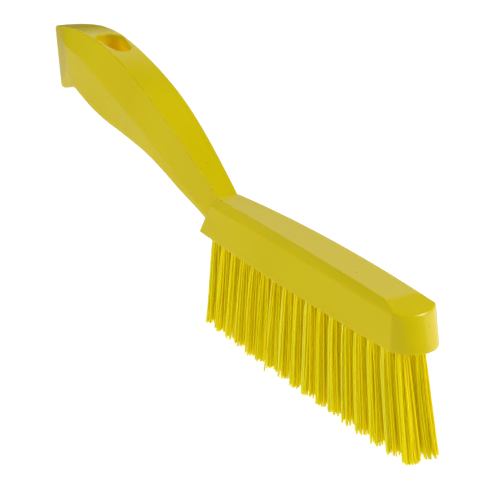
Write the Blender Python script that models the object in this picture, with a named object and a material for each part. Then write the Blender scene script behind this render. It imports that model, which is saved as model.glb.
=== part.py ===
# Narrow hand brush: a moulded plastic body, head and handle in one, with bristle tufts in its underside.
# Metres, +Z up, +X towards the nose. The brush stands on its bristle tips at z = 0.

import math
import random

import bmesh
import bpy
import numpy as np

# The whole brush
bristle_free_length = 0.0386  # from the head's underside down to the standing plane

# The head, measured at its underside
head_length = 0.1424  # rear bottom edge to the front of the nose
nose_depth = 0.0062  # how far the rounded nose stands beyond the straight flanks
head_half_width_rear = 0.0074
head_half_width_nose = 0.0090
head_flank_bulge = 0.0012  # how much fuller the head is halfway along, on each side
crest_height_rear = 0.0170  # top crease above the underside
crest_height_nose = 0.0159
crest_arch = 0.0016  # how much higher the top is halfway along
chamfer_drop = 0.0031
chamfer_width = 0.0024
rear_face_lean = 0.0112  # how far the rear face's top edge stands in front of its bottom edge
nose_draft = 0.0033  # how far the front of the nose leans back from bottom to top
nose_side_draft = 0.0009  # how much narrower the nose is at its top, on each side
nose_corner_draft = 0.0011  # how far the nose's corners lean back from bottom to top
panel_length = 0.0080  # flat sloped panel on top of the nose, along the middle
panel_drop = 0.0032
panel_edge_round = 0.0005  # small step between the panel's rim and the walls below it
nose_squareness = 3.2  # exponent of the nose's plan curve: 2 is an ellipse, more is squarer

# The handle, along its length from the head's top rear edge to the tip
handle_length = 0.1665
handle_rise = 0.0458  # highest line of the handle above the head's top rear edge
handle_depth = 0.0337  # deepest section, from the top facet to the lower edge
top_facet_half_width = 0.0077
grip_half_width = 0.0093  # across the ridges between the upper and the lower side facets
lower_flare = 0.0008  # the lower edges stand this much further out than the top facet
cheek_depth_share = 0.55  # a line halfway down the lower side facet, which turns a corner at the beak
belly_drop = 0.0012  # the underside bows this much below the lower edges
beak_belly_drop = 0.0003
belly_half_share = 0.55
root_bury = 0.0055  # how far the handle runs on inside the head
tip_top_setback = 0.0006  # the end face leans back from its cheek line, to the top and to the beak
tip_beak_setback = 0.0050

# The hanging hole, an egg shape through the handle from top to bottom
hang_hole_big_radius = 0.0065
hang_hole_small_radius = 0.0044
hang_hole_centres = 0.0118  # between the centres of the two round ends
hang_hole_tip_distance = 0.0570  # from the handle's tip to the big end's centre

# The tufts
tufts_per_side_row = 17  # the middle row has one less and stands half a pitch further on
first_tuft_from_rear = 0.0097
last_tuft_from_front = 0.0073
side_row_offset = 0.0036
middle_row_share = 0.5  # where a middle tuft stands, from one side tuft to the next
tuft_hole_diameter = 0.0038
tuft_hole_depth = 0.0085
fit_clearance = 0.0003  # from a tuft to the wall and the end of its hole
# The strands of a tuft
strands_round_tuft = 8  # and one in the middle
strand_radius = 0.00040
strand_ring_radius = 0.00112
strand_tip_ring_radius = 0.0024
strand_tip_scatter = 0.00030
strand_bury = 0.0008  # how far a strand runs on inside the bundle
trim_depth = 0.0005  # the tips are cut flat this far above where they would end
short_strand_most = 0.0015
tips_rise_nose = 0.0020  # the leaning tips at the nose end this much above the plane of the others
tips_rise_start_share = 0.6  # along the head, where that rise begins
side_lean_rear = 0.0014  # how far a side row's tips lean outwards, at the rear and at the nose
side_lean_nose = 0.0003
lean_back_rear = 0.0020
lean_forward_nose = 0.0090
# The metal plate that holds a tuft in its hole
anchor_thickness = 0.0004
anchor_height = 0.0024
anchor_wall_gap = 0.00015  # from each of its ends to the hole's wall, which it bites into on a real brush
fold_thickness = 0.0010  # of the filaments that are folded over its inner edge

# How finely curves are divided
flank_stations = 11
nose_stations = 7
nose_end_share = 0.75  # the nose's last station, between the one before it and the middle line
handle_stations = 30
round_segments = 32
tuft_segments = 8
sharp_edge_angle = math.radians(15)
cut_overrun = 0.0020  # how far a cutter runs past the face it opens

# The handle's shape: places along its length, then heights, depths and widths there, all as shares
station_shares = (0, 0.086, 0.171, 0.255, 0.340, 0.424, 0.508, 0.596, 0.681, 0.762, 0.804, 0.852, 0.913, 1)
rise_shares = (0, 0.188, 0.365, 0.524, 0.662, 0.775, 0.867, 0.941, 0.989, 1, 0.996, 0.980, 0.952, 0.897)
ridge_depth_shares = (
    *(0.344, 0.392, 0.427, 0.460, 0.487, 0.525, 0.525),
    *(0.490, 0.415, 0.318, 0.288, 0.240, 0.154, 0.030),
)
lower_depth_shares = (
    *(0.404, 0.510, 0.617, 0.691, 0.769, 0.864, 0.944),
    *(1, 0.988, 0.896, 0.834, 0.840, 0.870, 0.895),
)
facet_width_shares = (
    *(0.620, 0.753, 0.870, 0.953, 0.994, 0.987, 0.970),
    *(0.978, 1, 1, 0.987, 0.916, 0.740, 0.370),
)
ridge_width_shares = (
    *(0.690, 0.800, 0.895, 0.960, 0.995, 0.990, 0.975),
    *(0.980, 1, 1, 0.985, 0.935, 0.700, 0.345),
)
tip_station_shares = station_shares[-5:-1]  # stations near the tip that the loft also passes through
beak_start_share = 0.852  # the station where the side facets end and the end facets and the beak begin
beak_cheek_depth_shares = (0.579, 0.87)  # the cheek line's depth there and at the tip
beak_cheek_width_shares = (0.870, 0.345)  # and its half width, of the grip's
beak_lower_width_shares = (0.540, 0.240)

underside = bristle_free_length
flank_length = head_length - nose_depth
tuft_pitch = (head_length - first_tuft_from_rear - last_tuft_from_front) / (tufts_per_side_row - 1)


def between(start, end, share):
    return start + (end - start) * share


def smooth_table(place, known_places, values):
    """A value between the known ones, on a curve that never swings past them (monotone cubic)."""
    known_places = np.array(known_places, float)
    values = np.array(values, float)
    steps = np.diff(known_places)
    slopes = np.diff(values) / steps
    tangents = np.zeros(len(values))
    same_way = slopes[:-1] * slopes[1:] > 0
    before, after = slopes[:-1][same_way], slopes[1:][same_way]
    tangents[1:-1][same_way] = 2 * before * after / (before + after)
    tangents[0], tangents[-1] = slopes[0], slopes[-1]
    index = min(int(np.searchsorted(known_places, place, side="right")) - 1, len(steps) - 1)
    share = (place - known_places[index]) / steps[index]
    square, cube = share**2, share**3
    return (
        (2 * cube - 3 * square + 1) * values[index]
        + (cube - 2 * square + share) * steps[index] * tangents[index]
        + (3 * square - 2 * cube) * values[index + 1]
        + (cube - square) * steps[index] * tangents[index + 1]
    )


def head_half_width(x):
    """Half the head's width at its underside, x measured from the rear bottom edge."""
    share = min(x / flank_length, 1)
    bulge = 4 * head_flank_bulge * share * (1 - share)
    return between(head_half_width_rear, head_half_width_nose, share) + bulge


def crest_height(x):
    """Height of the head's top crease above the standing plane."""
    share = x / flank_length
    arch = 4 * crest_arch * share * (1 - share)
    return underside + between(crest_height_rear, crest_height_nose, share) + arch


panel_front = head_length - nose_draft
panel_back = panel_front - panel_length


def panel_height(x):
    return crest_height(panel_back) - panel_drop * (x - panel_back) / panel_length


def head_section(x):
    """One cross-section of the straight part of the head: bottom, chamfer and crease points of one side."""
    share = x / flank_length
    half = head_half_width(x)
    wall_share = 1 - chamfer_drop / (crest_height(x) - underside)
    crease_x = x + rear_face_lean * (1 - share)
    chamfer_x = x + rear_face_lean * wall_share * (1 - share)
    crease_half, crease_z = half - chamfer_width, crest_height(crease_x)
    if crease_x > panel_back:
        along = (crease_x - panel_back) / (flank_length - panel_back)
        crease_half = between(half - chamfer_width, half - panel_edge_round, along)
        crease_z = panel_height(crease_x)
    chamfer_x -= nose_corner_draft * share
    chamfer_z = crest_height(min(chamfer_x, panel_back)) - chamfer_drop
    return (
        (x, half, underside),
        (chamfer_x, half - nose_side_draft * share, chamfer_z),
        (crease_x - nose_corner_draft * share, crease_half - nose_side_draft * share, crease_z),
    )


def nose_section(turn):
    """The same three points where the plan curve of the nose has turned this far, 0 to a quarter turn."""
    power = 2 / nose_squareness
    forward, sideways = math.sin(turn) ** power, math.cos(turn) ** power
    half = head_half_width(flank_length)
    corner_x = flank_length - nose_corner_draft
    upper_depth = panel_front - corner_x
    rim_x = corner_x + (upper_depth - panel_edge_round) * forward
    return (
        (flank_length + nose_depth * forward, half * sideways, underside),
        (
            corner_x + upper_depth * forward,
            (half - nose_side_draft) * sideways,
            min(crest_height(panel_back) - chamfer_drop, panel_height(rim_x) - panel_edge_round),
        ),
        (rim_x, (half - nose_side_draft - panel_edge_round) * sideways, panel_height(rim_x)),
    )


def handle_section(share):
    """One cross-section of the handle, share 0 at the head: one side's points, top facet to belly."""
    knee_x, knee_z = rear_face_lean, crest_height(rear_face_lean)
    top = knee_z + smooth_table(share, station_shares, rise_shares) * handle_rise
    ridge = smooth_table(share, station_shares, ridge_depth_shares) * handle_depth
    lower = smooth_table(share, station_shares, lower_depth_shares) * handle_depth
    facet_half = smooth_table(share, station_shares, facet_width_shares) * top_facet_half_width
    ridge_half = smooth_table(share, station_shares, ridge_width_shares) * grip_half_width
    lower_half = facet_half + lower_flare
    cheek = between(ridge, lower, cheek_depth_share)
    cheek_half = between(ridge_half, lower_half, cheek_depth_share)
    into_beak = max(0, (share - beak_start_share) / (1 - beak_start_share))
    if share >= beak_start_share:
        cheek = between(*beak_cheek_depth_shares, into_beak) * handle_depth
        cheek_half = between(*beak_cheek_width_shares, into_beak) * grip_half_width
        lower_half = between(*beak_lower_width_shares, into_beak) * grip_half_width
    x = knee_x - share * handle_length
    beak_x = x + tip_beak_setback * into_beak
    belly = top - lower - between(belly_drop, beak_belly_drop, into_beak)
    return (
        (x + tip_top_setback * into_beak, facet_half, top),
        (x, ridge_half, top - ridge),
        (beak_x, cheek_half, top - cheek),
        (beak_x, lower_half, top - lower),
        (beak_x, lower_half * belly_half_share, belly),
    )


def handle_root():
    """The handle's last section, buried in the head, where its lines run on at their slope."""
    first = np.array(handle_section(0))
    second = np.array(handle_section(station_shares[1]))
    step = root_bury / (second[0][0] - first[0][0])
    return first + (second - first) * step


def loft(name, halves, place_x):
    """A closed symmetric solid through cross-sections, each given by one side's points, bottom to top."""
    rings = []
    for half in halves:
        near = [(x + place_x, -y, z) for x, y, z in half]
        far = [(x + place_x, y, z) for x, y, z in reversed(half)]
        rings.append(near + far)
    count = len(rings[0])
    shape = bmesh.new()
    corners = [[shape.verts.new(point) for point in ring] for ring in rings]
    for first, second in zip(corners, corners[1:]):
        for i in range(count):
            j = (i + 1) % count
            shape.faces.new((first[i], first[j], second[j], second[i]))
    for ring in (corners[0], corners[-1]):
        for i in range(count // 2 - 1):
            shape.faces.new((ring[i], ring[i + 1], ring[count - 2 - i], ring[count - 1 - i]))
    bmesh.ops.triangulate(shape, faces=shape.faces[:])
    bmesh.ops.recalc_face_normals(shape, faces=shape.faces[:])
    return object_of(name, shape)


def object_of(name, shape):
    mesh = bpy.data.meshes.new(name)
    shape.to_mesh(mesh)
    shape.free()
    mesh.shade_smooth()
    mesh.set_sharp_from_angle(angle=sharp_edge_angle)
    return bpy.data.objects.new(name, mesh)


def plastic(name, colour, roughness):
    material = bpy.data.materials.new(name)
    material.use_nodes = True
    shader = material.node_tree.nodes["Principled BSDF"]
    shader.inputs["Base Color"].default_value = colour
    shader.inputs["Roughness"].default_value = roughness
    shader.inputs["Metallic"].default_value = 0
    material.diffuse_color = colour
    return material


def boolean(target, other, operation):
    modifier = target.modifiers.new(operation.lower() + "_" + other.name, "BOOLEAN")
    modifier.operation = operation
    modifier.object = other
    modifier.solver = "EXACT"


def cylinder(shape, x, y, bottom, top, radius, segments):
    """Adds an upright cylinder to a bmesh."""
    made = bmesh.ops.create_cone(
        shape, cap_ends=True, segments=segments, radius1=radius, radius2=radius, depth=top - bottom
    )
    bmesh.ops.translate(shape, verts=made["verts"], vec=(x, y, (top + bottom) / 2))


def tuft_places():
    """Root of each tuft as row, number, x, y, with x from the head's rear bottom edge."""
    places = []
    for row, y in (("near", -side_row_offset), ("far", side_row_offset)):
        for number in range(tufts_per_side_row):
            places.append((row, number, first_tuft_from_rear + number * tuft_pitch, y))
    for number in range(tufts_per_side_row - 1):
        x = first_tuft_from_rear + (number + middle_row_share) * tuft_pitch
        places.append(("middle", number, x, 0))
    return places


def tuft_strands(row, number, x, y):
    """Each strand's root, tip, end height and turn. The near and the far row mirror each other."""
    rule = random.Random(number + (tufts_per_side_row if row == "middle" else 0))
    share = x / head_length
    side = 0 if row == "middle" else math.copysign(1, y)
    lean_x = between(-lean_back_rear, lean_forward_nose, share)
    lean_y = side * between(side_lean_rear, side_lean_nose, share)
    into_rise = max(0, share - tips_rise_start_share) / (1 - tips_rise_start_share)
    rise = tips_rise_nose * into_rise**2
    quarter = math.tau * rule.random()
    strands = []
    for i in range(strands_round_tuft + 1):
        turn = quarter + math.tau * i / strands_round_tuft
        inner = strand_ring_radius if i < strands_round_tuft else 0
        outer = strand_tip_ring_radius if i < strands_round_tuft else 0
        across = side if side else 1
        direction = (math.cos(turn), math.sin(turn) * across)
        scatter_x = strand_tip_scatter * rule.uniform(-1, 1)
        scatter_y = strand_tip_scatter * rule.uniform(-1, 1) * across
        end_height = rise + short_strand_most * max(0, rule.uniform(-1, 1)) ** 2
        root = (x + inner * direction[0], y + inner * direction[1])
        tip = (x + lean_x + outer * direction[0] + scatter_x, y + lean_y + outer * direction[1] + scatter_y)
        strands.append((root, tip, end_height, turn * across))
    return strands


def strand_ring(root, tip, height, turn):
    """The level cut through a three-sided strand that runs straight from its root to its tip."""
    down = (underside - height) / (underside + trim_depth)
    x, y = between(root[0], tip[0], down), between(root[1], tip[1], down)
    angles = [turn + math.tau * corner / 3 for corner in range(3)]
    return [(x + strand_radius * math.cos(angle), y + strand_radius * math.sin(angle)) for angle in angles]


def add_strand(shape, root, tip, end_height, turn, place_x):
    rings = []
    for height in (underside + strand_bury, end_height):
        ring = strand_ring(root, tip, height, turn)
        rings.append([shape.verts.new((x + place_x, y, height)) for x, y in ring])
    for i in range(3):
        j = (i + 1) % 3
        shape.faces.new((rings[0][i], rings[0][j], rings[1][j], rings[1][i]))
    shape.faces.new(rings[0])
    shape.faces.new(rings[1])


def box_centre_shift():
    """What to add to x so that the brush's box is centred on x = 0."""
    ahead = [head_length]
    for place in tuft_places():
        for root, tip, end_height, turn in tuft_strands(*place):
            ahead += [x for x, y in strand_ring(root, tip, end_height, turn)]
    behind = [point[0] for point in handle_section(1)]
    return -(max(ahead) + min(behind)) / 2


def build_body(parts, cutters, material, place_x):
    panel_start = (panel_back - rear_face_lean) / (flank_length - rear_face_lean)
    flank_shares = sorted(set(np.linspace(0, 1, flank_stations)) | {panel_start})
    flank = [head_section(share * flank_length) for share in flank_shares]
    nose_turns = np.linspace(0, math.pi / 2, nose_stations + 1)[1:]
    nose_turns[-1] = between(nose_turns[-2], nose_turns[-1], nose_end_share)
    head = loft("brush_body", flank + [nose_section(turn) for turn in nose_turns], place_x)
    shares = sorted(set(np.linspace(0, 1, handle_stations)) | set(tip_station_shares))
    sections = [tuple(map(tuple, handle_root()))] + [handle_section(share) for share in shares]
    handle = loft("handle_blank", [section[::-1] for section in sections], place_x)

    holes = bmesh.new()
    for row, number, x, y in tuft_places():
        top = underside + tuft_hole_depth
        cylinder(holes, x + place_x, y, underside - cut_overrun, top, tuft_hole_diameter / 2, tuft_segments)
    tuft_holes = object_of("tuft_hole_cutter", holes)
    hang_hole = build_hang_hole(place_x)

    for cutter in (handle, tuft_holes, hang_hole):
        cutter.hide_render = True
        cutter.display_type = "WIRE"
        cutters.objects.link(cutter)
    boolean(head, handle, "UNION")
    boolean(head, tuft_holes, "DIFFERENCE")
    boolean(head, hang_hole, "DIFFERENCE")
    head.data.materials.append(material)
    parts.objects.link(head)


def build_hang_hole(place_x):
    """An upright prism whose outline is a big and a small circle joined by their common tangents."""
    big_x = rear_face_lean - handle_length + hang_hole_tip_distance + place_x
    small_x = big_x + hang_hole_centres
    lean = math.acos((hang_hole_big_radius - hang_hole_small_radius) / hang_hole_centres)
    big_turns = np.linspace(lean, math.tau - lean, round_segments * 2 // 3)
    small_turns = np.linspace(-lean, lean, round_segments // 3)
    outline = []
    for centre_x, radius, turns in (
        (big_x, hang_hole_big_radius, big_turns),
        (small_x, hang_hole_small_radius, small_turns),
    ):
        for turn in turns:
            outline.append((centre_x + radius * math.cos(turn), radius * math.sin(turn)))
    shape = bmesh.new()
    face = shape.faces.new([shape.verts.new((x, y, underside)) for x, y in outline])
    height = crest_height(0) + handle_rise + cut_overrun - underside
    raised = bmesh.ops.extrude_face_region(shape, geom=[face])
    lifted = [item for item in raised["geom"] if isinstance(item, bmesh.types.BMVert)]
    bmesh.ops.translate(shape, verts=lifted, vec=(0, 0, height))
    bmesh.ops.recalc_face_normals(shape, faces=shape.faces[:])
    return object_of("hang_hole_cutter", shape)


def build_tuft(parts, cutters, material, place, place_x):
    """One tuft: the folded bundle with its metal anchor across it, and the strands that grow out of it."""
    row, number, x, y = place
    bundle_radius = tuft_hole_diameter / 2 - fit_clearance
    bundle_top = underside + tuft_hole_depth - fit_clearance
    anchor_width = tuft_hole_diameter - 2 * anchor_wall_gap
    anchor_middle = bundle_top - fold_thickness - anchor_height / 2
    bundle = bmesh.new()
    cylinder(bundle, x + place_x, y, underside, bundle_top, bundle_radius, tuft_segments)
    tuft = object_of("tuft_%s_%02d" % (row, number + 1), bundle)
    grown = bmesh.new()
    anchor = bmesh.ops.create_cube(grown, size=1)["verts"]
    bmesh.ops.scale(grown, verts=anchor, vec=(anchor_width, anchor_thickness, anchor_height))
    bmesh.ops.translate(grown, verts=anchor, vec=(x + place_x, y, anchor_middle))
    for start, tip, end_height, turn in tuft_strands(*place):
        add_strand(grown, start, tip, end_height, turn, place_x)
    bmesh.ops.recalc_face_normals(grown, faces=grown.faces[:])
    strands = object_of(tuft.name + "_strands", grown)
    strands.hide_render = True
    strands.display_type = "WIRE"
    cutters.objects.link(strands)
    boolean(tuft, strands, "UNION")
    tuft.data.materials.append(material)
    parts.objects.link(tuft)


def main():
    for leftover in list(bpy.data.objects):
        bpy.data.objects.remove(leftover)
    parts = bpy.data.collections.new("narrow_hand_brush")
    cutters = bpy.data.collections.new("cutters")
    cutters.hide_render = True
    for collection in (parts, cutters):
        bpy.context.scene.collection.children.link(collection)
    moulded = plastic("moulded_yellow_polypropylene", (0.60, 0.50, 0.005, 1), 0.38)
    filament = plastic("yellow_polyester_filament", (0.68, 0.53, 0.010, 1), 0.42)
    place_x = box_centre_shift()
    build_body(parts, cutters, moulded, place_x)
    for place in tuft_places():
        build_tuft(parts, cutters, filament, place, place_x)


main()
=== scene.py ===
import math

import bmesh
import bpy
import numpy as np
from mathutils import Matrix, Vector


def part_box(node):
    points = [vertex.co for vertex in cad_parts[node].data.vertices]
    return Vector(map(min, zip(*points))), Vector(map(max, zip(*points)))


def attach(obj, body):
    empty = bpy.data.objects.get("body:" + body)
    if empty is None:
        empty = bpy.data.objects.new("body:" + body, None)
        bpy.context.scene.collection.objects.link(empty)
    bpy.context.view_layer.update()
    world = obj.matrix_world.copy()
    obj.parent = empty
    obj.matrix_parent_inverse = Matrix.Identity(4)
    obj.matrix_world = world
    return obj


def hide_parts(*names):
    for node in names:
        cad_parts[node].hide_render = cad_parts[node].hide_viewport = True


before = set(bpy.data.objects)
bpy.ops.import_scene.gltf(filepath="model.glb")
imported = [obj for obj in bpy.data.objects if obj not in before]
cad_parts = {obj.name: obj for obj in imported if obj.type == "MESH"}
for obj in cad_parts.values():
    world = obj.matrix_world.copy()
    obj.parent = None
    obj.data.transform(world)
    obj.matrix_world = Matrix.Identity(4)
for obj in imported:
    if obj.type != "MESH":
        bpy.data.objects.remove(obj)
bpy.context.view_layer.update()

# Narrow hand brush in yellow plastic: a body moulded in one, and fifty tufts of filament.
# Every length is in metres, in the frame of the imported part. The body's surfaces follow the
# same lines as its solids, with the soft edges of a moulding.

bodyLow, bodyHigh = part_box("brush_body")

head = {
    "length": 0.1424,
    "noseReach": 0.0020,  # how far the nose stands before the solid's
    "noseDepth": 0.0072,  # from the end of the straight flank to the tip
    "noseTurn": (0.50, 0.60, 0.70),  # radians on its ellipse where each line round the nose starts
    "noseEdge": 0.0006,  # setback of the soft upright edge between flank and nose
    "halfWidthRear": 0.0074,
    "halfWidthNose": 0.0102,
    "flankBulge": 0.0012,
    "underside": 0.0386,  # height over the floor, at the rear
    "undersideRise": 0.0008,  # at the nose
    "crestRear": 0.0170,  # height of the top over the underside
    "crestNose": 0.0159,
    "crestArch": 0.0016,
    "chamferDrop": (0.0031, 0.0024),  # rear, nose
    "chamferWidth": 0.0024,
    "rearLean": 0.0112,  # how far the top of the rear face leans forward
    "noseDraft": 0.0042,  # how far the top of the nose leans back in front,
    "noseSideDraft": 0.0010,  # at its sides,
    "cornerDraft": 0.0011,  # and where it meets the flank
    "panelLength": 0.0108,  # the flat panel on top of the nose
    "panelDrop": 0.0027,
    "panelEdge": 0.0005,
    "rearCornerRadius": 0.0014,
    "edgeSoftness": (0.0006, 0.0007, 0.0006),  # bottom edge, chamfer, top crease
    "borderInset": 0.0009,  # where the flat top and underside begin, less than the corner radius
    "acrossSteps": 14,  # from the middle line to where the rear corner, or the nose's corner, begins
    "cornerSteps": 8,
    "flankStations": 110,
    "noseCornerSteps": 34,
    "noseFrontShare": 0.60,  # of the half width, where the nose's corner ends and its front begins
    "noseSamples": 6001,  # along the nose's curve, to space its points evenly
}
noseTip = head["length"] + head["noseReach"]
flankEnd = noseTip - head["noseDepth"]
panelFront = noseTip - head["noseDraft"]
panelBack = panelFront - head["panelLength"]
rearX = bodyHigh.x - head["length"]  # the head's rear bottom edge in the frame
tiny = 1e-12  # keeps a length of nought from being divided by


# From a to b along a straight line, for t from 0 to 1.
def mix(a, b, t):
    return a + (b - a) * t


# A curve that leaves the line from a to b and joins the line from b to c, for t from 0 to 1.
def quadratic(t, a, b, c):
    return (1 - t) ** 2 * a + 2 * t * (1 - t) * b + t**2 * c


# Points and faces as a mesh, with the faces turned outwards. Points closer than mergeWithin become one.
def outwardMesh(name, points, faces, mergeWithin=0.0):
    mesh = bpy.data.meshes.new(name)
    mesh.from_pydata(points.tolist(), [], faces)
    surface = bmesh.new()
    surface.from_mesh(mesh)
    if mergeWithin:
        bmesh.ops.remove_doubles(surface, verts=surface.verts[:], dist=mergeWithin)
    bmesh.ops.recalc_face_normals(surface, faces=surface.faces[:])
    surface.to_mesh(mesh)
    surface.free()
    return mesh


# Grids of points become one closed mesh: each grid's neighbours in rows and columns make its quads,
# and points that meet are merged.
def closedMesh(name, grids, mergeWithin=0.000002):
    points, quads, start = [], [], 0
    for grid in grids:
        rows, columns = grid.shape[:2]
        index = start + np.arange(rows * columns).reshape(rows, columns)
        corners = (index[:-1, :-1], index[1:, :-1], index[1:, 1:], index[:-1, 1:])
        quads.append(np.stack(corners, axis=-1).reshape(-1, 4))
        points.append(grid.reshape(-1, 3))
        start += rows * columns
    return outwardMesh(name, np.concatenate(points), np.concatenate(quads).tolist(), mergeWithin)


# The same points on the other side: y turned round.
def mirrored(points):
    return points * np.array((1, -1, 1))


# A flat cap between a half outline and its mirror image: every point but the first and last few is
# carried straight across by shares of its y from -1 to 1, and the points left over make the end rows.
def flatCap(half, endSteps, shares):
    last = len(half) - 1 - endSteps
    across = np.array((1, 0, 1)) + np.array((0, 1, 0)) * np.asarray(shares)[None, :, None]
    cap = half[endSteps : last + 1, None] * across
    cap[0] = np.concatenate((mirrored(half[endSteps:0:-1]), half[: endSteps + 1]))
    cap[-1] = np.concatenate((mirrored(half[last:-1]), half[last:][::-1]))
    return cap


# Rows of corner points become rows of soft corners: each inner corner is a quadratic curve that leaves
# the line before it and joins the line after it one setback away, never past lineShare of either line.
# Close beside each curve stands one more point, its support, which keeps the flats flat.
def softCorners(corners, setbacks, steps=6, support=0.0003, lineShare=0.45, supportShare=0.3):
    t = np.linspace(0, 1, steps)[None, :, None]
    parts, lastEnd = [corners[:, :1]], corners[:, 0]
    for j in range(1, corners.shape[1] - 1):
        before, corner, after = corners[:, j - 1], corners[:, j], corners[:, j + 1]
        toBefore, toAfter = before - corner, after - corner
        lengthBefore = np.linalg.norm(toBefore, axis=1, keepdims=True) + tiny
        lengthAfter = np.linalg.norm(toAfter, axis=1, keepdims=True) + tiny
        start = corner + toBefore / lengthBefore * np.minimum(setbacks[j - 1], lineShare * lengthBefore)
        end = corner + toAfter / lengthAfter * np.minimum(setbacks[j - 1], lineShare * lengthAfter)
        straight = np.linalg.norm(start - lastEnd, axis=1, keepdims=True)
        step = toBefore / lengthBefore * np.minimum(support, straight * supportShare)
        if j > 1:
            parts.append((lastEnd - step)[:, None])
        parts.append((start + step)[:, None])
        parts.append(quadratic(t, start[:, None], corner[:, None], end[:, None]))
        lastEnd = end
    straight = np.linalg.norm(corners[:, -1] - lastEnd, axis=1, keepdims=True)
    along = (corners[:, -1] - lastEnd) / (straight + tiny)
    parts += [(lastEnd + along * np.minimum(support, straight * supportShare))[:, None], corners[:, -1:]]
    return np.concatenate(parts, axis=1)


# Nought at both ends of a share from 0 to 1, and one half way: a parabola.
def arch(share):
    return 4 * share * (1 - share)


# Half the head's width: straight from rear to nose, with the flank's bulge added as an arch.
def halfWidth(x):
    share = np.minimum(x / flankEnd, 1)
    return mix(head["halfWidthRear"], head["halfWidthNose"], share) + head["flankBulge"] * arch(share)


# Height of the underside: level at the rear, and rising by the square of the way to the nose.
def undersideHeight(x):
    return head["underside"] + head["undersideRise"] * np.clip(x / flankEnd, 0, 1) ** 2


# Height of the top: a low arch from rear to nose, then the flat panel that slopes down to the front.
def topHeight(x):
    def crest(x):
        share = x / flankEnd
        body = mix(head["crestRear"], head["crestNose"], share) + head["crestArch"] * arch(share)
        return head["underside"] + body

    sloped = crest(panelBack) - head["panelDrop"] * (x - panelBack) / head["panelLength"]
    return np.where(x > panelBack, sloped, crest(x))


# One side of the straight head at its bottom x: bottom edge, chamfer edge and top crease, the upper two
# sheared forward at the rear and back at the nose.
def flankLines(x):
    share = x / flankEnd
    half = halfWidth(x)
    drop = mix(*head["chamferDrop"], share)
    wallShare = 1 - drop / (topHeight(np.minimum(x, panelBack)) - head["underside"])
    creaseX = x + head["rearLean"] * (1 - share) - head["cornerDraft"] * share
    chamferX = x + head["rearLean"] * wallShare * (1 - share) - head["cornerDraft"] * share
    intoPanel = np.clip((creaseX - panelBack) / (flankEnd - head["cornerDraft"] - panelBack), 0, 1)
    creaseHalf = half - mix(head["chamferWidth"], head["panelEdge"], intoPanel)
    draft = head["noseSideDraft"] * share
    bottom = np.stack((x, half, undersideHeight(x)), -1)
    chamfer = np.stack((chamferX, half - draft, topHeight(np.minimum(chamferX, panelBack)) - drop), -1)
    crease = np.stack((creaseX, creaseHalf - draft, topHeight(creaseX)), -1)
    return np.stack((bottom, chamfer, crease), 1)


# The same three lines round the nose, for shares from 0 at the flank to 1 in front: x and y follow the
# front of an ellipse that meets the flank at an angle, leaning back and growing flatter with height.
def noseLines(share):
    start = np.array(head["noseTurn"])[:, None]
    turn = mix(start, math.pi / 2, share)
    forward = (np.sin(turn) - np.sin(start)) / (1 - np.sin(start))
    sideways = np.maximum(np.cos(turn), 0) / np.cos(start)
    half = halfWidth(flankEnd)
    cornerX = flankEnd - head["cornerDraft"]
    upperDepth = panelFront - cornerX
    rimX = cornerX + (upperDepth - head["panelEdge"]) * forward[2]
    sideHalf = half - head["noseSideDraft"]
    low = np.full_like(share, undersideHeight(flankEnd))
    shoulder = np.minimum(topHeight(panelBack) - head["chamferDrop"][1], topHeight(rimX) - head["panelEdge"])
    bottom = np.stack((flankEnd + head["noseDepth"] * forward[0], half * sideways[0], low), -1)
    chamfer = np.stack((cornerX + upperDepth * forward[1], sideHalf * sideways[1], shoulder), -1)
    rim = np.stack((rimX, (sideHalf - head["panelEdge"]) * sideways[2], topHeight(rimX)), -1)
    return np.stack((bottom, chamfer, rim), 1)


# Shares of the nose's curve that stand evenly from its corner edge on, and then evenly along its front.
def evenShares():
    shares = np.linspace(0, 1, head["noseSamples"])
    outline = noseLines(shares)[:, 0]
    walked = np.concatenate(([0], np.cumsum(np.linalg.norm(np.diff(outline, axis=0), axis=1))))
    front = np.interp(head["noseFrontShare"], outline[::-1, 1] / outline[0, 1], walked[::-1])
    corner = np.linspace(head["noseEdge"], front, head["noseCornerSteps"] + 1)
    onward = np.linspace(front, walked[-1], head["acrossSteps"] + 1)[1:]
    return np.interp(np.concatenate((corner, onward)), walked, shares)


# A closed line drawn in towards its middle: x and y scaled so that its ends and its widest sides move
# in by one inset.
def drawnIn(line):
    middle = (line[:, 0].min() + line[:, 0].max()) / 2
    reach = np.array((np.ptp(line[:, 0]) / 2, line[:, 1].max()))
    inner = line.copy()
    inner[:, :2] = (line[:, :2] - (middle, 0)) * (1 - head["borderInset"] / reach) + (middle, 0)
    return inner


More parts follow.
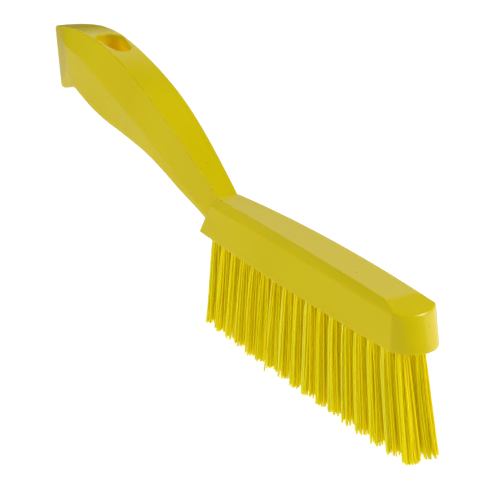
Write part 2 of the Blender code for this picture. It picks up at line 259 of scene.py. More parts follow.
# The head: a plan curve (rear face, rounded corner, flank, corner edge, nose and back again) times a
# soft-edged profile (underside border, bottom edge, chamfer edge, top crease, top border), closed by an
# underside and a top that are straight from side to side. Both corners are quadratic curves.
def headMesh():
    rear = flankLines(np.array([0.0]))[0]
    radius = head["rearCornerRadius"]
    cornerShare = 1 - radius / halfWidth(0.0)
    across = np.linspace(0, cornerShare, head["acrossSteps"] + 1)[:, None, None]
    rearFace = rear[None] * (np.array((1, 0, 1)) + np.array((0, 1, 0)) * across)
    t = np.linspace(0, 1, head["cornerSteps"] + 1)[1:-1, None, None]
    flankX = mix(radius, flankEnd - head["noseEdge"], np.linspace(0, 1, head["flankStations"]))
    flank, nose = flankLines(flankX), noseLines(evenShares())
    corner = quadratic(t, rearFace[-1:], rear[None], flank[:1])
    noseEdge = quadratic(t, flank[-1:], noseLines(np.array([0.0])), nose[:1])
    half = np.concatenate((rearFace, corner, flank, noseEdge, nose))
    half[-1, :, 1] = 0
    count = len(half)
    loop = np.concatenate((half, mirrored(half[-2:0:-1])))

    lowBorder, topBorder = drawnIn(loop[:, 0]), drawnIn(loop[:, 2])
    lowBorder[:, 2] = undersideHeight(lowBorder[:, 0])
    topBorder[:, 2] = topHeight(topBorder[:, 0])
    corners = np.stack((lowBorder, loop[:, 0], loop[:, 1], loop[:, 2], topBorder), 1)
    walls = softCorners(corners, head["edgeSoftness"])
    steps = head["acrossSteps"]
    shares = np.linspace(-1, 1, 2 * steps + 1)
    caps = [flatCap(border[:count], steps, shares) for border in (lowBorder, topBorder)]
    return closedMesh("headBlank", [np.concatenate((walls, walls[:1])), *caps])


handle = {
    "length": 0.1667,
    "rise": 0.0458,
    "depth": 0.0341,
    "facetHalf": 0.0077,  # half width of the top facet
    "gripHalf": 0.0093,  # and at the ridge, where the handle is widest
    "lowerFlare": 0.0008,  # how much wider than the top facet the lower edge is
    "cheekShare": 0.55,  # of the way from ridge to lower edge
    "bellyDrop": 0.0012,
    "beakBellyDrop": 0.0003,
    "bellyHalfShare": 0.55,
    "rootBury": 0.0055,  # how far the handle runs on into the head
    "tipTopSetback": 0.0006,
    "tipBeakSetback": 0.0050,
    "tipRound": 0.0009,
    "beakStart": 0.852,  # share of the length where the hooked end, the beak, begins
    "sideEnd": 0.8276,  # where the side facets begin to turn into the beak
    "beakCheekDepth": (0.579, 0.87),  # start and tip of the beak, as in the next two
    "beakCheekHalf": (0.870, 0.345),
    "beakLowerHalf": (0.540, 0.240),
    "edgeSoftness": (0.0007, 0.0008, 0.0016, 0.0010, 0.0022),  # top facet, ridge, cheek, lower edge, belly
    "stations": 190,
    "roundSteps": 6,
    "capShares": (-1, -0.85, 0, 0.85, 1),  # of the half width, where the columns of both end faces stand
    # places along it, then the top line's height, and depths and half widths there, all as shares
    "places": (0, 0.086, 0.171, 0.255, 0.340, 0.424, 0.508, 0.596, 0.681, 0.762, 0.804, 0.852, 0.913, 1),
    "riseAt": (0, 0.188, 0.365, 0.524, 0.662, 0.775, 0.867, 0.941, 0.989, 1, 0.996, 0.98, 0.952, 0.897),
    "ridgeAt": (0.344, 0.392, 0.427, 0.46, 0.487, 0.525, 0.525, 0.49, 0.415, 0.318, 0.288, 0.24, 0.154, 0.03),
    "lowerAt": (0.404, 0.51, 0.617, 0.691, 0.769, 0.864, 0.944, 1, 0.988, 0.896, 0.834, 0.84, 0.87, 0.895),
    "facetAt": (0.62, 0.753, 0.87, 0.953, 0.994, 0.987, 0.97, 0.978, 1, 1, 0.987, 0.916, 0.74, 0.37),
    "gripAt": (0.69, 0.8, 0.895, 0.96, 0.995, 0.99, 0.975, 0.98, 1, 1, 0.985, 0.935, 0.7, 0.345),
}


# A curve through the known values: between two of them a cubic whose slope at each is that of the
# parabola through the value and its two neighbours.
def smoothCurve(place, values):
    known, values = np.array(handle["places"], float), np.array(values, float)
    steps = np.diff(known)
    slopes = np.diff(values) / steps
    inner = (slopes[:-1] * steps[1:] + slopes[1:] * steps[:-1]) / (steps[:-1] + steps[1:])
    tangents = np.concatenate((slopes[:1], inner, slopes[-1:]))
    index = np.clip(np.searchsorted(known, place, side="right") - 1, 0, len(steps) - 1)
    step = steps[index]
    t = (place - known[index]) / step
    start = (2 * t**3 - 3 * t**2 + 1) * values[index] + (t**3 - 2 * t**2 + t) * step * tangents[index]
    end = (3 * t**2 - 2 * t**3) * values[index + 1] + (t**3 - t**2) * step * tangents[index + 1]
    return start + end


# Where an x counted from the head's rear edge lies along the handle, as a share of its length.
def handleShare(x):
    return (head["rearLean"] - x) / handle["length"]


# One side of the handle at each share of its length: top middle, top facet, ridge, cheek, lower edge,
# belly and belly middle. Past the side facets the cheek and the lower edge draw in to the beak.
def handleLines(share):
    top = topHeight(np.array(head["rearLean"])) + smoothCurve(share, handle["riseAt"]) * handle["rise"]
    ridge = smoothCurve(share, handle["ridgeAt"]) * handle["depth"]
    lower = smoothCurve(share, handle["lowerAt"]) * handle["depth"]
    facetHalf = smoothCurve(share, handle["facetAt"]) * handle["facetHalf"]
    ridgeHalf = smoothCurve(share, handle["gripAt"]) * handle["gripHalf"]
    beak = np.clip((share - handle["beakStart"]) / (1 - handle["beakStart"]), 0, 1)
    turned = np.clip((share - handle["sideEnd"]) / (handle["beakStart"] - handle["sideEnd"]), 0, 1)
    sideHalf = facetHalf + handle["lowerFlare"]

    def intoBeak(side, beakShares, size):
        return mix(side, mix(*handle[beakShares], beak) * handle[size], turned)

    lowerHalf = intoBeak(sideHalf, "beakLowerHalf", "gripHalf")
    cheek = intoBeak(mix(ridge, lower, handle["cheekShare"]), "beakCheekDepth", "depth")
    cheekHalf = intoBeak(mix(ridgeHalf, sideHalf, handle["cheekShare"]), "beakCheekHalf", "gripHalf")
    x = head["rearLean"] - share * handle["length"]
    topX, beakX = x + handle["tipTopSetback"] * beak, x + handle["tipBeakSetback"] * beak
    belly = top - lower - mix(handle["bellyDrop"], handle["beakBellyDrop"], beak)
    middle = np.zeros_like(x)
    lines = (
        (topX, middle, top),
        (topX, facetHalf, top),
        (x, ridgeHalf, top - ridge),
        (beakX, cheekHalf, top - cheek),
        (beakX, lowerHalf, top - lower),
        (beakX, lowerHalf * handle["bellyHalfShare"], belly),
        (beakX, middle, belly),
    )
    return np.stack([np.stack(line, -1) for line in lines], 1)


# The handle: its soft-cornered cross-section carried along its length, run on straight into the head
# at one end, and at the other drawn in round a quarter circle to a narrow end face.
def handleMesh():
    sweep = np.linspace(0, math.pi / 2, handle["roundSteps"])
    roundLength = handle["tipRound"] * (1 - np.sin(sweep)) / handle["length"]
    shares = np.concatenate((np.linspace(0, 1 - roundLength[0], handle["stations"])[:-1], 1 - roundLength))
    inset = np.concatenate((np.zeros(handle["stations"] - 1), handle["tipRound"] * (1 - np.cos(sweep))))
    lines = handleLines(shares)
    step = lines[2] - lines[0]
    root = lines[0] + step * handle["rootBury"] / step[0, 0]
    half = softCorners(np.concatenate((root[None], lines)), handle["edgeSoftness"])
    inset = np.concatenate(([0], inset))[:, None]
    tangent = np.gradient(half, axis=1)
    tangent[:, (0, -1), 2] = 0
    length = np.hypot(tangent[..., 1], tangent[..., 2]) + tiny
    half[..., 1] += tangent[..., 2] / length * inset
    half[..., 2] -= tangent[..., 1] / length * inset
    half[:, (0, -1), 1] = 0
    caps = [flatCap(end, len(handle["capShares"]) // 2, handle["capShares"]) for end in (half[0], half[-1])]
    return closedMesh("handleBlank", [half, mirrored(half), *caps])


hangingHole = {
    "bigRadius": 0.0065,
    "smallRadius": 0.0044,
    "centres": 0.0118,
    "tipDistance": 0.0570,  # from the handle's tip to the big end's centre
    "rimRound": 0.0008,
    "rimLift": 0.00004,  # how far above the facet the rounded rim ends
    "overrunShare": 1.2,  # of the rim's round, how far the cutter stands out of the handle
    "points": 96,
    "rimSteps": 7,
    "wallRows": 6,
    "paintedLightEdge": 0.0004,  # out from the wall, where the painted bounce light ends
    "paintedLightDepth": (0.0006, 0.0036),  # under the top facet, where it begins and where it is full
}
bigEndX = head["rearLean"] - handle["length"] + hangingHole["tipDistance"]


# The hanging hole's cutter: an egg of two circles and their common tangents, offset outwards by a
# quarter circle where it meets the top facet and the belly, so that both rims come out round.
def hangingHoleMesh():
    big, small, centres = hangingHole["bigRadius"], hangingHole["smallRadius"], hangingHole["centres"]
    lean = math.acos((big - small) / centres)
    share = np.linspace(0, 1, hangingHole["points"] // 2)
    turn = np.concatenate((mix(lean, math.tau - lean, share), mix(-lean, lean, share)))
    centreX = np.repeat((bigEndX, bigEndX + centres), len(share))
    radius = np.repeat((big, small), len(share))
    sweep = np.linspace(0, math.pi / 2, hangingHole["rimSteps"])
    rim = hangingHole["rimRound"]
    flare = rim * (1 - np.cos(sweep))
    rise = rim * np.sin(sweep) - rim + hangingHole["rimLift"]
    past = (rim * hangingHole["overrunShare"],)
    outward = np.concatenate((flare, past))[:, None]
    above = np.concatenate((rise, past))[:, None]
    x, y = centreX + (radius + outward) * np.cos(turn), (radius + outward) * np.sin(turn)
    lines = handleLines(handleShare(x[0]))
    top = np.stack((x, y, lines[:, 0, 2] + above), -1)
    belly = np.stack((x, y, lines[:, -1, 2] - above), -1)
    wall = mix(top[:1], belly[:1], np.linspace(0, 1, hangingHole["wallRows"] + 2)[1:-1, None, None])
    side = np.concatenate((top[::-1], wall, belly))
    side = np.concatenate((side, side[:, :1]), axis=1)
    caps = []
    for edge in (side[0], side[-1]):
        middle = np.broadcast_to((bigEndX + centres / 2, 0, edge[:, 2].mean()), edge.shape)
        caps.append(np.stack((edge, middle)))
    return closedMesh("hangingHoleCutter", [side, *caps])


tufts = {
    "sideCount": 17,  # in each side row; the middle row has one less, half a pitch further on
    "firstFromRear": 0.0097,
    "lastFromFront": 0.0073,
    "sideOffset": 0.0036,
    "holeRadius": 0.0024,
    "holeDepth": 0.0085,
    "holePoints": 20,
    "holeTurn": 0.11,  # radians that its points are turned by, so that none lies on the body's own lines
    "holeOverrun": 0.002,  # how far the cutter stands out of the underside
}


# Root of each tuft: row, number, x from the head's rear edge, y.
def tuftPlaces():
    first, count = tufts["firstFromRear"], tufts["sideCount"]
    pitch = (head["length"] - first - tufts["lastFromFront"]) / (count - 1)
    # name, y, number of tufts, how many pitches its first tuft stands further on
    rows = (
        ("near", -tufts["sideOffset"], count, 0),
        ("far", tufts["sideOffset"], count, 0),
        ("middle", 0.0, count - 1, 0.5),
    )
    return [
        (row, number, first + (number + ahead) * pitch, y)
        for row, y, count, ahead in rows
        for number in range(count)
    ]


# Upright round pegs where the tuft holes go: a circle times four rings, of which the first and the
# last have no width and close the ends.
def tuftHoleMesh():
    turn = np.linspace(0, math.tau, tufts["holePoints"] + 1) + tufts["holeTurn"]
    radius = tufts["holeRadius"] * np.array((0, 1, 1, 0))[:, None]
    bottom, top = head["underside"] - tufts["holeOverrun"], head["underside"] + tufts["holeDepth"]
    height = np.array((bottom, bottom, top, top))[:, None] * np.ones_like(turn)
    peg = np.stack((radius * np.cos(turn), radius * np.sin(turn), height), -1)
    return closedMesh("tuftHoleCutter", [peg + np.array((x, y, 0)) for *_, x, y in tuftPlaces()])


def addObject(name, data):
    made = bpy.data.objects.new(name, data)
    bpy.context.scene.collection.objects.link(made)
    return made


# One number at each point of a mesh, for its material to read.
def addValues(mesh, name, values):
    mesh.attributes.new(name, "FLOAT", "POINT").data.foreach_set("value", values.astype(np.float32))


# How far a point stands inside the hanging hole: its distance from the egg (round the nearer circle, or
# out from the common tangent) turned into a share, times its depth under the top facet.
# The share is where the hole's painted bounce light and painted glow go.
def paintedHoleLight(points):
    big, small, centres = hangingHole["bigRadius"], hangingHole["smallRadius"], hangingHole["centres"]
    along, sideways = points[:, 0] - bigEndX, np.abs(points[:, 1])
    slope = (big - small) / centres
    flat = math.sqrt(1 - slope**2)
    place = along * flat - sideways * slope
    fromBig = np.hypot(along, sideways) - big
    fromSmall = np.hypot(along - centres, sideways) - small
    fromTangent = sideways * flat + along * slope - big
    away = np.select((place < 0, place > flat * centres), (fromBig, fromSmall), fromTangent)
    under = handleLines(np.clip(handleShare(points[:, 0]), 0, 1))[:, 0, 2] - points[:, 2]
    start, full = hangingHole["paintedLightDepth"]
    return np.clip(1 - away / hangingHole["paintedLightEdge"], 0, 1) * np.clip((under - start) / (full - start), 0, 1)


bodyFinish = {
    "sharpAngle": 28.0,  # degrees between two faces, over which their edge is shaded as a crease
}


# Head and handle joined, the holes cut, and the result kept as one mesh in its place in the frame.
def buildBody(material):
    body = addObject("mouldedBody", headMesh())
    steps = (
        ("UNION", addObject("handleBlank", handleMesh())),
        ("DIFFERENCE", addObject("tuftHoleCutter", tuftHoleMesh())),
        ("DIFFERENCE", addObject("hangingHoleCutter", hangingHoleMesh())),
    )
    for operation, other in steps:
        modifier = body.modifiers.new(other.name, "BOOLEAN")
        modifier.operation = operation
        modifier.object = other
        modifier.solver = "EXACT"
    bpy.context.view_layer.update()
    finished = bpy.data.meshes.new_from_object(body.evaluated_get(bpy.context.evaluated_depsgraph_get()))
    body.modifiers.clear()
    body.data = finished
    for operation, other in steps:
        bpy.data.objects.remove(other)
    points = np.zeros((len(finished.vertices), 3))
    finished.vertices.foreach_get("co", points.reshape(-1))
    # where the hanging hole's painted bounce light and painted glow go
    addValues(finished, "paintedHoleLight", paintedHoleLight(points))
    points[:, 0] += rearX
    finished.vertices.foreach_set("co", points.reshape(-1))
    finished.name = "mouldedBody"
    finished.shade_smooth()
    finished.set_sharp_from_angle(angle=math.radians(bodyFinish["sharpAngle"]))
    finished.materials.clear()
    finished.materials.append(material)
    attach(body, "root")
    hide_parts("brush_body")
    return body


filaments = {
    "count": 30,  # in each tuft
    "radius": 0.00037,
    "radiusShares": (0.85, 1.15),  # thinnest, thickest
    "sides": 6,
    "rows": 7,
    "rootRadius": 0.00205,  # the bundle where it leaves its hole
    "tipRadius": 0.0033,
    "tipScatter": 0.00034,  # how far a tip lands from its place
    "strayShare": 0.03,  # of the filaments stray by more
    "strayScatter": 0.0016,
    "bury": 0.0080,  # how far the filaments run up into the hole
    "bow": 0.00022,
    "tuftShort": 0.0010,  # most that one whole tuft is cut shorter than the longest
    "shortMost": 0.0009,  # and most that one filament is shorter than its tuft
    "longShare": 0.10,  # of the filaments reach all the way down
    "sideLean": (0.0012, 0.0001),  # of a side row's tips, outwards at the rear and at the nose
    "sideFan": 0.0021,  # and this much more half way
    "lean": (-0.0014, 0.0096),  # of all tips, forwards at the rear and at the nose
    "leanPower": 1.2,  # of the way down; over 1 bends late
    "openPower": 0.45,  # under 1 opens early
    "toneMiddle": (0.38, 0.66),  # deepest, palest tuft
    "paintedShadeAcross": (-0.306, -0.136),  # painted light and shade across each tuft, added from its middle to its edge along x and along y
    "toneScatter": 0.15,
    "sharpAngle": 80.0,  # degrees, over which an end's edge is shaded as a crease
}


# One tuft: each filament's centre runs from its place in the hole to its tip. The tuft leans by one power
# of the way down and opens by another, every filament bows by a half sine of its own, and a ring of
# points goes round it at every row. The places in the hole lie on a sunflower's spiral.
def buildTuft(place, material):
    row, number, x, y = place
    rng = np.random.default_rng([("near", "middle", "far").index(row), number])
    count = filaments["count"]
    order = (np.arange(count) + 0.5) / count
    turn = np.arange(count) * math.pi * (3 - math.sqrt(5)) + rng.uniform(0, math.tau)
    disc = np.stack((np.cos(turn), np.sin(turn)), -1) * np.sqrt(order)[:, None]
    share = x / head["length"]
    side = 0 if row == "middle" else math.copysign(1, y)
    sideLean = mix(*filaments["sideLean"], share) + filaments["sideFan"] * arch(share)
    lean = np.array((mix(*filaments["lean"], share), side * sideLean))
    root = np.array((x, y)) + disc * filaments["rootRadius"]
    opening = disc * (filaments["tipRadius"] - filaments["rootRadius"])
    stray = rng.uniform(0, 1, (count, 1)) < filaments["strayShare"]
    reachOut = np.where(stray, filaments["strayScatter"], filaments["tipScatter"])
    scatter = rng.normal(0, 1, (count, 2)) * reachOut

    short = filaments["tuftShort"] * rng.uniform() ** 2
    short = short + filaments["shortMost"] * rng.uniform(0, 1, count) ** 2
    endHeight = np.where(rng.uniform(0, 1, count) < filaments["longShare"], 0, short)
    down = np.concatenate(([0], np.linspace(0, 1, filaments["rows"] - 1)))
    height = head["underside"] + (endHeight[:, None] - head["underside"]) * down
    height[:, 0] += filaments["bury"]
    reach = np.maximum((head["underside"] - height) / head["underside"], 0)[..., None]

    leaning = (lean + scatter)[:, None] * reach ** filaments["leanPower"]
    opened = opening[:, None] * reach ** filaments["openPower"]
    bow = rng.normal(0, 1, (count, 1, 2)) * filaments["bow"] * np.sin(math.pi * reach)
    centre = root[:, None] + leaning + opened + bow
    spin = rng.uniform(0, math.tau, count)[:, None, None]
    around = spin + np.linspace(0, math.tau, filaments["sides"], endpoint=False)
    radius = filaments["radius"] * rng.uniform(*filaments["radiusShares"], count)[:, None, None]
    ringX = centre[..., 0, None] + radius * np.cos(around)
    ringY = centre[..., 1, None] + radius * np.sin(around)
    ringZ = np.broadcast_to(height[..., None], ringX.shape)
    points = np.stack((ringX + rearX, ringY, ringZ), -1).reshape(-1, 3)

    rows, sides = filaments["rows"], filaments["sides"]
    index = np.arange(count * rows * sides).reshape(count, rows, sides)
    after = np.roll(index, -1, axis=2)
    walls = np.stack((index[:, :-1], after[:, :-1], after[:, 1:], index[:, 1:]), -1).reshape(-1, 4)
    ends = np.concatenate((index[:, 0, ::-1], index[:, -1]))
    mesh = outwardMesh("filaments", points, walls.tolist() + ends.tolist())
    mesh.shade_smooth()
    mesh.set_sharp_from_angle(angle=math.radians(filaments["sharpAngle"]))
    # Each filament's tone: its tuft's own at random, painted light and shade across the tuft, and a random
    # scatter.
    tone = rng.uniform(*filaments["toneMiddle"]) + disc @ np.array(filaments["paintedShadeAcross"])
    tone = tone + rng.uniform(-filaments["toneScatter"], filaments["toneScatter"], count)
    addValues(mesh, "filamentToneAndShade", np.repeat(np.clip(tone, 0, 1), rows * sides))
    addValues(mesh, "wayDown", np.broadcast_to(np.clip(reach, 0, 1), (count, rows, sides)).reshape(-1))
    mesh.materials.append(material)
    made = addObject("filaments_%s_%02d" % (row, number + 1), mesh)
    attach(made, "root")
    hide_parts("tuft_%s_%02d" % (row, number + 1))
    return made


# A link into a socket where the value comes from another node, and a plain value otherwise.
def put(tree, socket, value):
    if isinstance(value, bpy.types.NodeSocket):
        tree.links.new(value, socket)
    else:
        socket.default_value = value


def addNode(tree, kind, inputs, **settings):
    made = tree.nodes.new(kind)
    for key, value in settings.items():
        setattr(made, key, value)
    for key, value in inputs.items():
        put(tree, made.inputs[key], value)
    return made


# A material and short words for adding its nodes.
class Recipe:
    def __init__(self, name):
        self.material = bpy.data.materials.new(name)
        self.material.use_nodes = True
        self.tree = self.material.node_tree
        self.shader = self.tree.nodes["Principled BSDF"]
        self.coordinates = self.tree.nodes.new("ShaderNodeTexCoord").outputs["Object"]

    def node(self, kind, inputs, **settings):
        return addNode(self.tree, kind, inputs, **settings)

    # What the shader's own sockets hold, by their names.
    def finish(self, sockets):
        for name, value in sockets.items():
            put(self.tree, self.shader.inputs[name], value)

    # A number that the mesh keeps at each point.
    def valueOf(self, name):
        return self.node("ShaderNodeAttribute", {}, attribute_name=name).outputs["Fac"]

    def noise(self, scale, detail=2):
        inputs = {"Vector": self.coordinates, "Scale": scale, "Detail": detail}
        return self.node("ShaderNodeTexNoise", inputs).outputs["Fac"]

    # A soft noise drawn out to reach from start to end.
    def clouds(self, scale, start=0.0, end=1.0):
        return self.spread(self.noise(scale), 0.3, 0.7, start, end)

    # A value between low and high as a smooth step from start to end.
    def spread(self, value, low, high, start=0.0, end=1.0):
        inputs = {"Value": value, "From Min": low, "From Max": high, "To Min": start, "To Max": end}
        return self.node("ShaderNodeMapRange", inputs, interpolation_type="SMOOTHSTEP").outputs["Result"]

    # Two colours mixed. The mix node's sockets share their names, so they go by number.
    def blend(self, fac, a, b):
        return self.node("ShaderNodeMix", {0: fac, 6: a, 7: b}, data_type="RGBA").outputs[2]


plasticFinish = {
    "colour": (0.800, 0.640, 0.0, 1),
    "paler": (0.830, 0.668, 0.001, 1),
    "paleSize": 22.0,  # how many clouds to a metre, as with every size here
    "speck": (0.66, 0.51, 0.0, 1),
    "paintedHoleLight": (0.98, 0.70, 0.0, 1),  # painted bounce light in the hole: a deeper colour where light goes to and fro in there
    # painted glow in the hanging hole, though it is no lamp
    "paintedHoleGlow": 0.05,
    "roughness": (0.200, 0.212),
    "roughnessSize": 90.0,
    "specular": 0.5,
    "speckLevels": (0.83, 0.88),  # of the noise, where a speck begins and where it is full
    "speckSize": 600.0,
    "grainSize": 1600.0,
    "grainDepth": 0.000004,
    "grainStrength": 0.3,
}


# Moulded plastic: faint paler clouds, a few specks, a fine grain, and painted bounce light in the hanging
# hole, a deeper colour with a painted glow.
def plasticMaterial():
    recipe = Recipe("yellowMouldedPlastic")
    clouds = recipe.clouds(plasticFinish["paleSize"])
    colour = recipe.blend(clouds, plasticFinish["colour"], plasticFinish["paler"])
    specks = recipe.spread(recipe.noise(plasticFinish["speckSize"], 0), *plasticFinish["speckLevels"])
    colour = recipe.blend(specks, colour, plasticFinish["speck"])
    # Painted bounce light in the hanging hole: a deeper colour and a painted glow.
    inside = recipe.valueOf("paintedHoleLight")
    grain = {
        "Height": recipe.noise(plasticFinish["grainSize"]),
        "Distance": plasticFinish["grainDepth"],
        "Strength": plasticFinish["grainStrength"],
    }
    recipe.finish(
        {
            "Base Color": recipe.blend(inside, colour, plasticFinish["paintedHoleLight"]),
            "Emission Strength": recipe.spread(inside, 0, 1, 0, plasticFinish["paintedHoleGlow"]),
            "Emission Color": plasticFinish["paintedHoleLight"],
            "Roughness": recipe.clouds(plasticFinish["roughnessSize"], *plasticFinish["roughness"]),
            "Specular IOR Level": plasticFinish["specular"],
            "Normal": recipe.node("ShaderNodeBump", grain).outputs["Normal"],
        }
    )
    return recipe.material


filamentFinish = {
    "deep": (0.95, 0.76, 0.0, 1),
    "colour": (0.98, 0.84, 0.0, 1),
    "pale": (0.98, 0.92, 0.055, 1),
    "paleTones": (0.66, 0.95),  # where a filament's tone begins to turn pale, and where it is pale
    "paleTip": (0.93, 1.0, 0.45),  # way down where the worn tip begins and ends, and how pale it gets
    "roughness": (0.38, 0.48),
    "roughnessSize": 900.0,
    "specular": 0.08,
    "throughShare": 0.5,  # light that goes into a filament and comes out beside it
    "throughReach": (1.0, 0.8, 0.1),
    "throughScale": 0.001,
    "glow": (1.0, 0.84, 0.0, 1),  # painted bounce light: a glow, though no lamp, for the light that the bundle passes on from filament to filament
    "paintedGlowStrength": 0.050,
}


# Filament: its own tone between deep and clear yellow, with painted light and shade across each tuft, the
# palest ones and the worn tips paler still, and a painted glow.
def filamentMaterial():
    recipe = Recipe("yellowFilament")
    pale = filamentFinish["pale"]
    # the filament's tone carries painted light and shade across its tuft
    tone, down = recipe.valueOf("filamentToneAndShade"), recipe.valueOf("wayDown")
    colour = recipe.blend(recipe.spread(tone, 0, 1), filamentFinish["deep"], filamentFinish["colour"])
    colour = recipe.blend(recipe.spread(tone, *filamentFinish["paleTones"]), colour, pale)
    tipStart, tipEnd, tipShare = filamentFinish["paleTip"]
    recipe.finish(
        {
            "Base Color": recipe.blend(recipe.spread(down, tipStart, tipEnd, 0, tipShare), colour, pale),
            "Roughness": recipe.clouds(filamentFinish["roughnessSize"], *filamentFinish["roughness"]),
            "Specular IOR Level": filamentFinish["specular"],
            "Subsurface Weight": filamentFinish["throughShare"],
            "Subsurface Radius": filamentFinish["throughReach"],
            "Subsurface Scale": filamentFinish["throughScale"],
            # painted glow for light passed between filaments, though they are no lamp
            "Emission Color": filamentFinish["glow"],
            "Emission Strength": filamentFinish["paintedGlowStrength"],
        }
    )
    return recipe.material


studio = {
    "floorSize": 12.0,
    "floorFinish": {
        "Base Color": (0.25, 0.25, 0.25, 1),
        "Roughness": 0.9,
        "Specular IOR Level": 0.1,
        "Emission Strength": 0.92,
    },
    "backdropRadius": 5.8,
    "backdropHeight": 5.0,
    "backdropRounding": 2.0,
    "backdropSteps": (65, 9),  # round it, over its curve
    "backdropFinish": {"Base Color": (0, 0, 0, 1), "Emission Strength": 1.0},
    "white": (1, 1, 1, 1),
    "roomLight": 0.012,
    # soft panels that the plastic reflects: bearing from +X and half width in degrees, lowest and
    # highest height as a share of the way up, softness of both edges, brightness
    "panels": (
        (149, 32, 0.24, 0.62, 0.04, 0.54),
        (178, 26, -0.70, -0.22, 0.02, 0.32),
        (160, 24, -0.22, 0.00, 0.03, 0.15),
        (230, 14, -0.45, -0.06, 0.05, 0.11),
        (203, 14, 0.28, 0.51, 0.03, 0.17),
        (83, 40, -0.45, 0.15, 0.08, 1.0),
    ),
    # place, aim, width, height, watts, whether the plastic reflects it
    "lights": (
        ((-0.7, -1.6, 1.3), (0, 0, 0.05), 1.6, 0.9, 15.0, False),
        ((1.1, 1.0, 0.9), (0.1, 0, 0.05), 0.8, 0.8, 15.0, True),
        ((-0.1, -0.3, 2.1), (0, 0, 0.05), 1.6, 1.6, 15.6, False),
    ),
}


# Rotation that looks from one point to another, with the world's up.
def aimed(place, aim):
    return (Vector(aim) - Vector(place)).to_track_quat("-Z", "Y")


# The room that the plastic reflects: a dim even light, and to it each panel adds its brightness where
# a direction's bearing and height are both inside its edges, each edge a smooth step.
def buildRoom(tree):
    def step(value, edge, softness, before=0.0, after=1.0):
        ends = {0: value, 1: edge - softness, 2: edge + softness, 3: before, 4: after}
        return addNode(tree, "ShaderNodeMapRange", ends, interpolation_type="SMOOTHSTEP").outputs[0]

    def worked(kind, operation, *inputs):
        return addNode(tree, kind, dict(enumerate(inputs)), operation=operation).outputs

    direction = tree.nodes.new("ShaderNodeTexCoord").outputs["Generated"]
    height = addNode(tree, "ShaderNodeSeparateXYZ", {0: direction}).outputs["Z"]
    level = worked("ShaderNodeVectorMath", "MULTIPLY", direction, (1, 1, 0))["Vector"]
    level = worked("ShaderNodeVectorMath", "NORMALIZE", level)["Vector"]
    strength = studio["roomLight"]
    for bearing, half, low, high, softness, bright in studio["panels"]:
        bearing, half = math.radians(bearing), math.radians(half)
        middle = (math.cos(bearing), math.sin(bearing), 0)
        along = worked("ShaderNodeVectorMath", "DOT_PRODUCT", level, middle)["Value"]
        inside = step(along, math.cos(half), softness * math.sin(half))
        for edge in (step(height, low, softness), step(height, high, softness, 1.0, 0.0)):
            inside = worked("ShaderNodeMath", "MULTIPLY", inside, edge)[0]
        strength = worked("ShaderNodeMath", "MULTIPLY_ADD", inside, bright, strength)[0]
    background = tree.nodes["Background"]
    background.inputs["Color"].default_value = studio["white"]
    tree.links.new(strength, background.inputs["Strength"])


def floorMesh():
    half = studio["floorSize"] / 2
    corners = ((-half, -half, 0), (half, -half, 0), (half, half, 0), (-half, half, 0))
    mesh = bpy.data.meshes.new("floor")
    mesh.from_pydata(corners, [], [(0, 1, 2, 3)])
    return mesh


# The backdrop: an upright wall that curves over into a flat ceiling, a profile carried round the middle.
def backdropMesh():
    around, over = studio["backdropSteps"]
    turn, sweep = np.linspace(0, math.tau, around), np.linspace(0, math.pi / 2, over)
    rounding, radius, height = studio["backdropRounding"], studio["backdropRadius"], studio["backdropHeight"]
    reach = np.concatenate(([radius], radius - rounding * (1 - np.cos(sweep)), [0]))[:, None]
    rise = np.concatenate(([0], height - rounding * (1 - np.sin(sweep)), [height]))[:, None]
    dome = np.stack((reach * np.cos(turn), reach * np.sin(turn), rise * np.ones_like(turn)), -1)
    return closedMesh("backdrop", [dome])


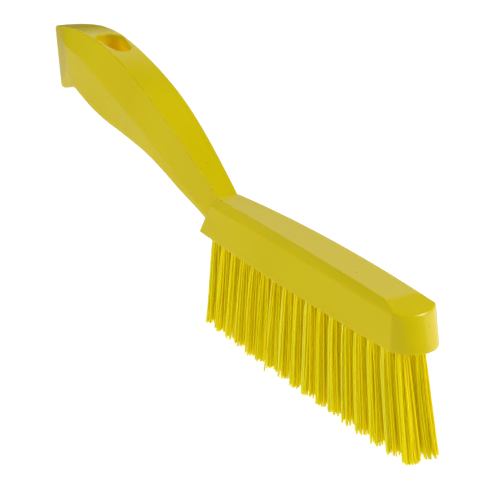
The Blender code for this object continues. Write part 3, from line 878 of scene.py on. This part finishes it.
# The floor and backdrop glow by themselves, so the plastic keeps the panels' and lamps' reflections alone.
def buildStudio():
    for mesh in (floorMesh(), backdropMesh()):
        stage = addObject(mesh.name, mesh)
        recipe = Recipe("pale" + mesh.name.capitalize())
        recipe.finish({"Emission Color": studio["white"], **studio[mesh.name + "Finish"]})
        mesh.materials.append(recipe.material)
        stage.visible_glossy = False
    stage.visible_diffuse = stage.visible_shadow = False  # the backdrop, which only the camera sees

    world = bpy.data.worlds.new("studioWorld")
    world.use_nodes = True
    buildRoom(world.node_tree)
    bpy.context.scene.world = world
    for number, (place, aim, width, height, power, reflected) in enumerate(studio["lights"]):
        data = bpy.data.lights.new("softLight%d" % (number + 1), "AREA")
        data.shape, data.size, data.size_y, data.energy = "RECTANGLE", width, height, power
        lamp = addObject(data.name, data)
        lamp.visible_glossy = reflected
        lamp.location = place
        lamp.rotation_mode = "QUATERNION"
        lamp.rotation_quaternion = aimed(place, aim)
    bpy.context.scene.view_settings.view_transform = "Standard"


camera = {
    "place": (0.47428, -0.26264, 0.23073),
    "azimuth": 59.9,  # degrees, as are the next two
    "elevation": 19.63,
    "roll": 0.34,
    "lens": 98.6,  # millimetres, as is the sensor
    "sensor": 36.0,
    "shift": (0.0322, -0.0449),
    "clip": (0.01, 60.0),
}


# The camera looks back along its azimuth and elevation, turned by its roll.
def buildCamera():
    azimuth, elevation, roll = (math.radians(camera[key]) for key in ("azimuth", "elevation", "roll"))
    right = Vector((math.cos(azimuth), math.sin(azimuth), 0))
    level = Vector((math.sin(azimuth), -math.cos(azimuth), 0))
    back = level * math.cos(elevation) + Vector((0, 0, math.sin(elevation)))
    up = back.cross(right)
    turnedRight = right * math.cos(roll) + up * math.sin(roll)
    turnedUp = up * math.cos(roll) - right * math.sin(roll)
    data = bpy.data.cameras.new("photoCamera")
    data.lens, data.sensor_width = camera["lens"], camera["sensor"]
    data.shift_x, data.shift_y = camera["shift"]
    data.clip_start, data.clip_end = camera["clip"]
    made = addObject("photoCamera", data)
    made.rotation_mode = "QUATERNION"
    made.location = camera["place"]
    made.rotation_quaternion = Matrix((turnedRight, turnedUp, back)).transposed().to_quaternion()
    bpy.context.scene.camera = made


print("building the moulded body")
body = buildBody(plasticMaterial())
print("body faces:", len(body.data.polygons))
print("setting the tufts")
bristleYellow = filamentMaterial()
tuftPieces = [buildTuft(place, bristleYellow) for place in tuftPlaces()]
print("tufts:", len(tuftPieces))
print("studio and camera")
buildStudio()
buildCamera()
